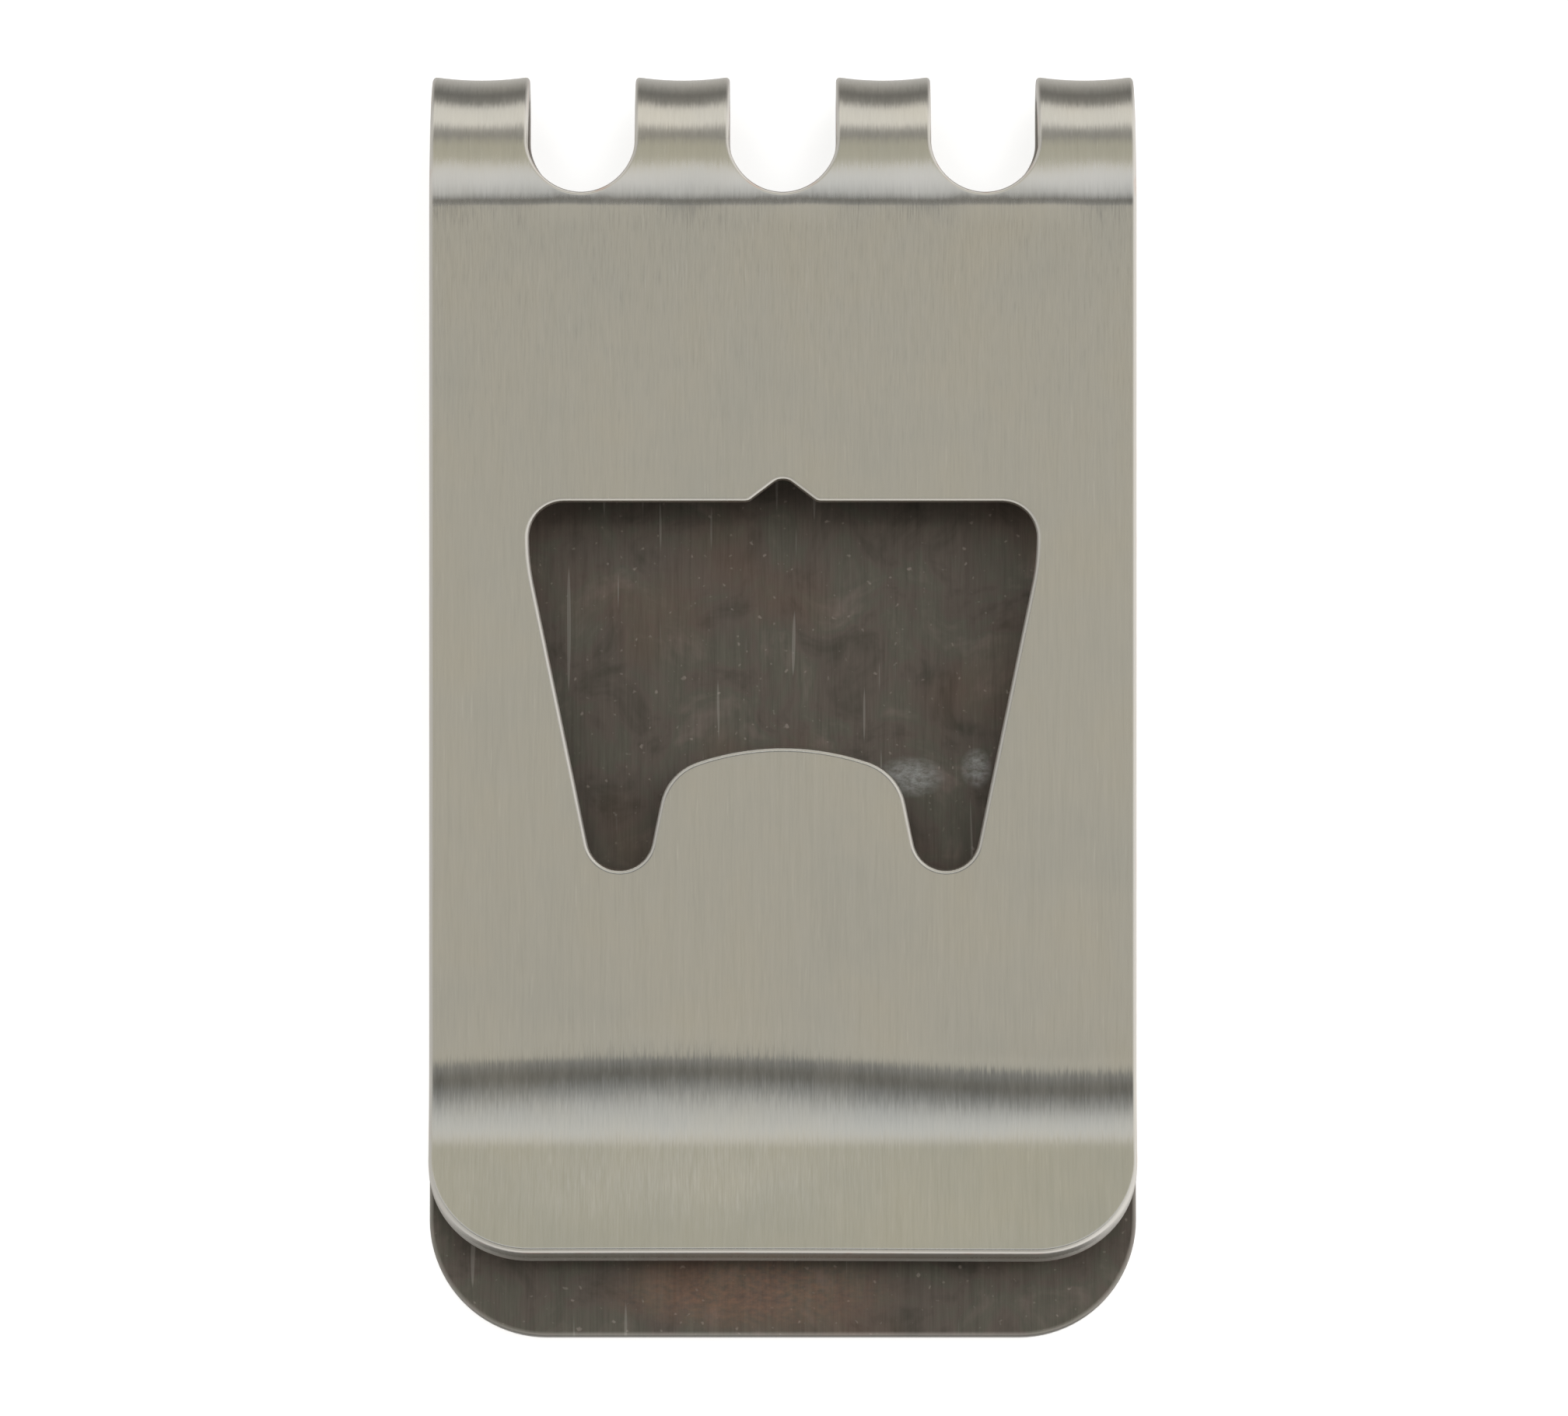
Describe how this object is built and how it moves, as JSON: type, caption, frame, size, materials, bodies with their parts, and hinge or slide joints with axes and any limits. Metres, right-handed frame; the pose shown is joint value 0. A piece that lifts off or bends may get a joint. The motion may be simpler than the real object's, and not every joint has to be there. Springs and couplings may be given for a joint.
{
  "type": "money clip",
  "caption": "Folded spring-steel money clip with a crown-cap opener window in its front leaf, slots through the fold and a flared lifting lip.",
  "frame": {"origin": "centre of the clip's outline, on the plane of the back plate's rear face", "axes": "+X across the clip to the right as seen from the front, +Y from the open end to the fold, +Z out of the back plate towards the front leaf"},
  "size_m": [0.032, 0.0576, 0.0077],
  "materials": {
    "brushed_spring_steel": "brushed lengthwise, tumbled edges"
  },
  "bodies": {
    "plate": {"back_plate": "brushed_spring_steel", "outer_left_strap": "brushed_spring_steel", "inner_left_strap": "brushed_spring_steel", "inner_right_strap": "brushed_spring_steel", "outer_right_strap": "brushed_spring_steel"},
    "leaf": {"front_leaf": "brushed_spring_steel", "lifting_lip": "brushed_spring_steel"}
  },
  "joints": [
    {"name": "fold_spring", "type": "hinge", "parent": "plate", "child": "leaf", "pos_m": [0, 0.0262, 0.0044], "axis": [-1, 0, 0], "range_deg": [-0.5, 8], "stiffness_Nm_per_rad": 13.5, "deforming": ["outer_left_strap", "inner_left_strap", "inner_right_strap", "outer_right_strap"]}
  ]
}
